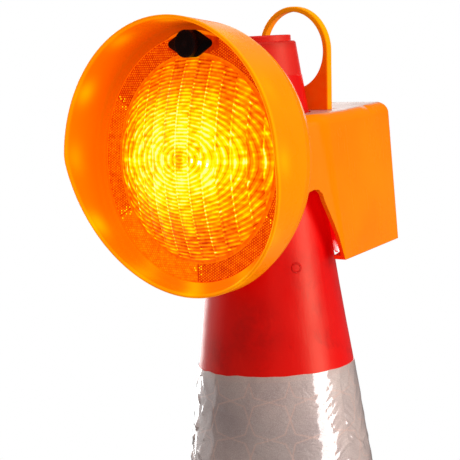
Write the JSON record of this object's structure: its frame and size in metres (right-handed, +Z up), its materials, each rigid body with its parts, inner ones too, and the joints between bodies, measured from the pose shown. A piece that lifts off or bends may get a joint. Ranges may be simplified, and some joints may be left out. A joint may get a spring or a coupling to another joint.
{
  "type": "road cone with hazard lamp",
  "caption": "Red road cone with reflective sleeve and heavy base, carrying a hooded amber flashing hazard lamp with a rear battery box and carrying loop.",
  "frame": {"origin": "on the ground under the cone's axis", "axes": "+Z up along the cone's axis, the lamp faces -Y, the battery box is on the +Y side"},
  "size_m": [0.42, 0.42, 0.7708],
  "materials": {
    "cone_red": "moulded, semi-gloss",
    "sleeve_film": "clear-faced cellular film",
    "base_black": "matt recycled rubber",
    "bush_rubber": "matt",
    "housing_amber": "moulded, semi-gloss, slightly translucent",
    "hood_amber": "moulded, translucent",
    "handle_amber": "moulded, semi-gloss",
    "lens_amber": "clear amber, prismatic",
    "seal_rubber": "matt",
    "reflector_white": "gloss",
    "board_green": "satin",
    "led_clear": "clear",
    "part_black": "satin",
    "knob_black": "satin",
    "zinc_steel": "zinc plated",
    "contact_brass": "plated",
    "battery_case": "satin",
    "lead_sheath": "matt"
  },
  "bodies": {
    "cone": {"cone_body": "cone_red", "reflective_sleeve": "sleeve_film", "cone_base": "base_black"},
    "grip_bush": {"grip_bush": "bush_rubber"},
    "lamp": {"lamp_housing": "housing_amber", "hood": "hood_amber", "lens": "lens_amber", "handle": "handle_amber", "lens_gasket": "seal_rubber", "led_carrier": "reflector_white", "led_board": "board_green", "leds": "led_clear", "photocell": "part_black", "led_screws": "zinc_steel", "carrier_screws": "zinc_steel", "board_screws": "zinc_steel", "handle_screws": "zinc_steel", "rotary_switch": "part_black", "switch_bezel": "knob_black", "knob_seal": "seal_rubber", "driver_board": "board_green", "driver_components": "part_black", "battery_springs": "contact_brass", "battery": "battery_case", "battery_terminals": "contact_brass", "door_hinge_pins": "zinc_steel", "lock_bush": "contact_brass", "lamp_leads": "lead_sheath"},
    "switch_knob": {"switch_knob": "knob_black"},
    "battery_door": {"battery_door": "housing_amber"},
    "door_lock": {"door_lock": "knob_black", "lock_cam": "zinc_steel"}
  },
  "joints": [
    {"name": "lamp_lift", "type": "slide", "parent": "cone", "child": "grip_bush", "axis": [0, 0, 1], "range_m": [0, 0.2]},
    {"name": "lamp_aim", "type": "hinge", "parent": "grip_bush", "child": "lamp", "pos_m": [0, 0, 0.66], "axis": [0, 0, 1], "continuous": true},
    {"name": "knob_turn", "type": "hinge", "parent": "lamp", "child": "switch_knob", "pos_m": [0, -0.08343, 0.74801], "axis": [0, -0.9986, 0.0537], "range_deg": [0, 90]},
    {"name": "door_swing", "type": "hinge", "parent": "lamp", "child": "battery_door", "pos_m": [0, 0.05249, 0.58247], "axis": [-1, 0, 0], "range_deg": [0, 80]},
    {"name": "lock_turn", "type": "hinge", "parent": "lamp", "child": "door_lock", "pos_m": [0, 0.10975, 0.59412], "axis": [0, 0.9998, 0.0218], "range_deg": [0, 90]}
  ]
}
